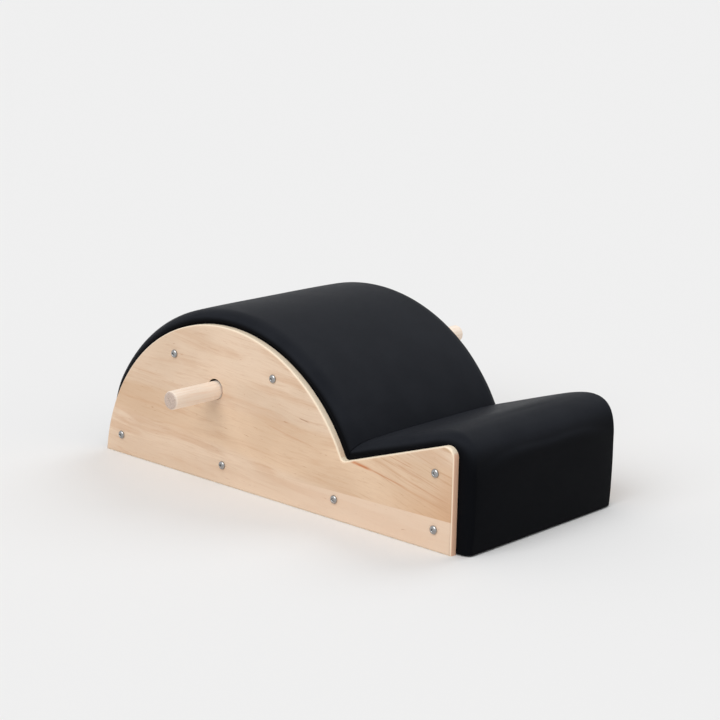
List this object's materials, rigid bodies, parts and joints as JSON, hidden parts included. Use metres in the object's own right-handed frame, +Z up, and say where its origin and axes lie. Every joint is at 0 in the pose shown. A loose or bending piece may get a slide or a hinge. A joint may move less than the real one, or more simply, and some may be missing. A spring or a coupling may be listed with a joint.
{
  "type": "pilates spine corrector",
  "caption": "Pilates spine corrector: padded barrel and sloping padded step between solid wood side panels, with a loose wooden handle rod through both panels.",
  "frame": {"origin": "on the floor, on the underside of the base board, under the middle of the body's length and width (the loose rod isn't counted)", "axes": "+X along the length from the barrel to the step, +Y across the width towards the side that the rod sticks out of most, +Z up"},
  "size_m": [0.95, 0.839, 0.34],
  "materials": {
    "panel_wood": "satin",
    "rod_wood": "satin",
    "rail_wood": "matte",
    "plywood": "matte",
    "cover": "satin",
    "foam": "matte",
    "bolt_steel": "satin",
    "insert_zinc": "satin"
  },
  "bodies": {
    "body": {"side_panel_near": "panel_wood", "side_panel_far": "panel_wood", "tail_rail": "rail_wood", "base_middle_rail": "rail_wood", "base_valley_rail": "rail_wood", "front_lower_rail": "rail_wood", "front_upper_rail": "rail_wood", "crown_rear_rail": "rail_wood", "crown_front_rail": "rail_wood", "base_board": "plywood", "barrel_skin": "plywood", "seat_deck": "plywood", "front_board": "plywood", "inner_rib_near": "plywood", "inner_rib_far": "plywood", "barrel_foam": "foam", "barrel_cover": "cover", "seat_foam": "foam", "seat_cover": "cover", "bolt_tail_near": "bolt_steel", "bolt_tail_far": "bolt_steel", "bolt_base_middle_near": "bolt_steel", "bolt_base_middle_far": "bolt_steel", "bolt_base_valley_near": "bolt_steel", "bolt_base_valley_far": "bolt_steel", "bolt_front_lower_near": "bolt_steel", "bolt_front_lower_far": "bolt_steel", "bolt_front_upper_near": "bolt_steel", "bolt_front_upper_far": "bolt_steel", "bolt_crown_rear_near": "bolt_steel", "bolt_crown_rear_far": "bolt_steel", "bolt_crown_front_near": "bolt_steel", "bolt_crown_front_far": "bolt_steel", "insert_tail_near": "insert_zinc", "insert_tail_far": "insert_zinc", "insert_base_middle_near": "insert_zinc", "insert_base_middle_far": "insert_zinc", "insert_base_valley_near": "insert_zinc", "insert_base_valley_far": "insert_zinc", "insert_front_lower_near": "insert_zinc", "insert_front_lower_far": "insert_zinc", "insert_front_upper_near": "insert_zinc", "insert_front_upper_far": "insert_zinc", "insert_crown_rear_near": "insert_zinc", "insert_crown_rear_far": "insert_zinc", "insert_crown_front_near": "insert_zinc", "insert_crown_front_far": "insert_zinc"},
    "rod": {"handle_rod": "rod_wood"}
  },
  "joints": [
    {"name": "rod_slide", "type": "slide", "parent": "body", "child": "rod", "axis": [0, 1, 0], "range_m": [-0.735, 0.58]}
  ]
}
